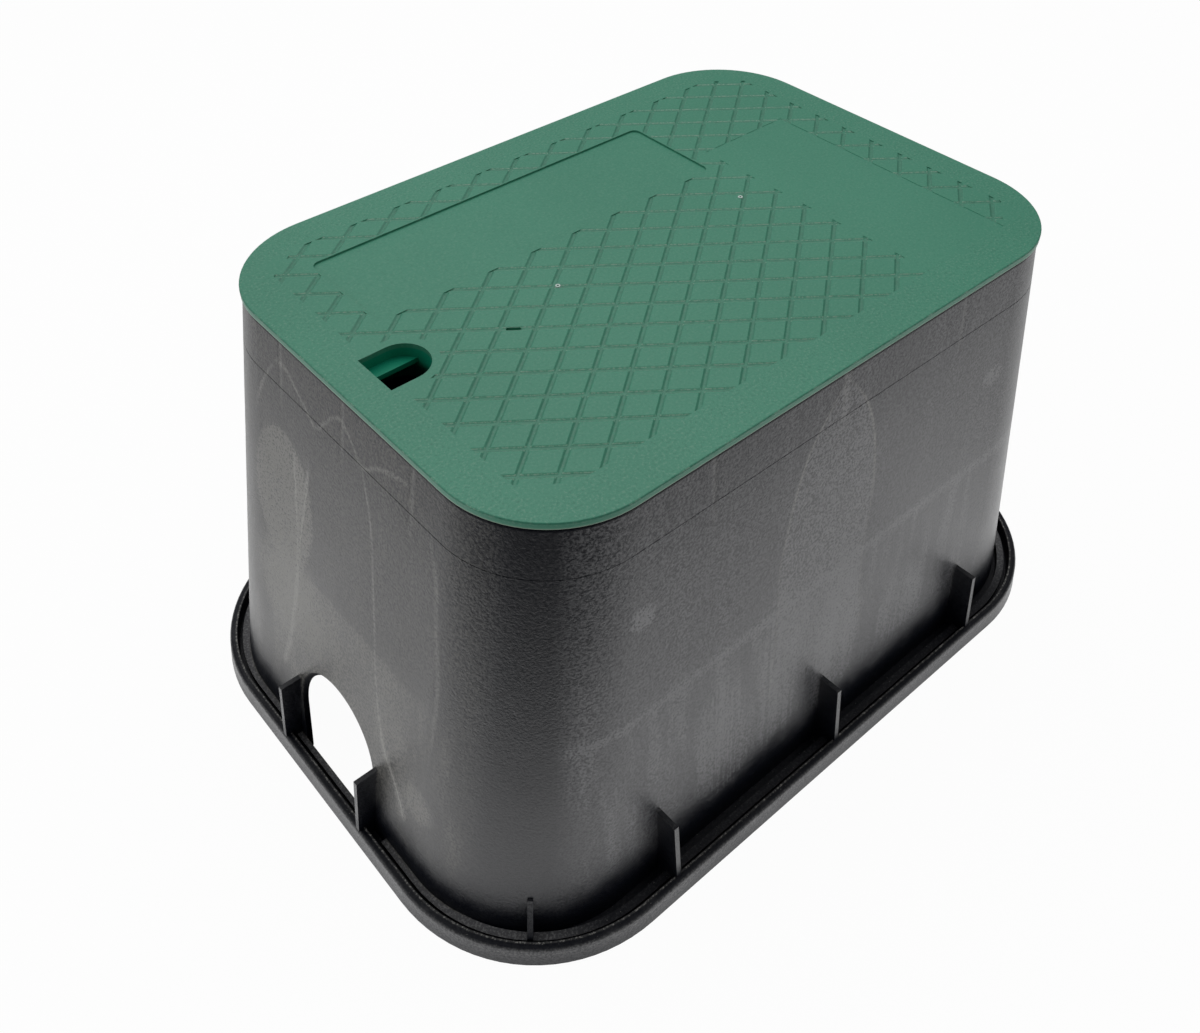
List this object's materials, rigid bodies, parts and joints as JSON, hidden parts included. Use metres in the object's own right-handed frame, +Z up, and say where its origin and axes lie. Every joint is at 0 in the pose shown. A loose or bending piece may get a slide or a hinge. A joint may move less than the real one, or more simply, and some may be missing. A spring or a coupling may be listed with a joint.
{
  "type": "irrigation valve box",
  "caption": "Tapered open-bottomed ground box with a foot flange, end pipe openings and a lift-off lid with a diamond tread and lift slot.",
  "frame": {"origin": "middle of the footprint, on the ground", "axes": "+X along the long side, away from the lid's lift slot; +Y towards the lid's sunk panel; +Z up"},
  "size_m": [0.56, 0.4046, 0.3114],
  "materials": {
    "body": "fine-grained black moulded polyolefin with pale flow marks",
    "lid": "fine-grained green moulded polyolefin"
  },
  "bodies": {
    "box": {"body": "body"},
    "lid": {"lid": "lid"}
  },
  "joints": [
    {"name": "lid_lift", "type": "slide", "parent": "box", "child": "lid", "axis": [0, 0, 1], "range_m": [0, 0.12]}
  ]
}
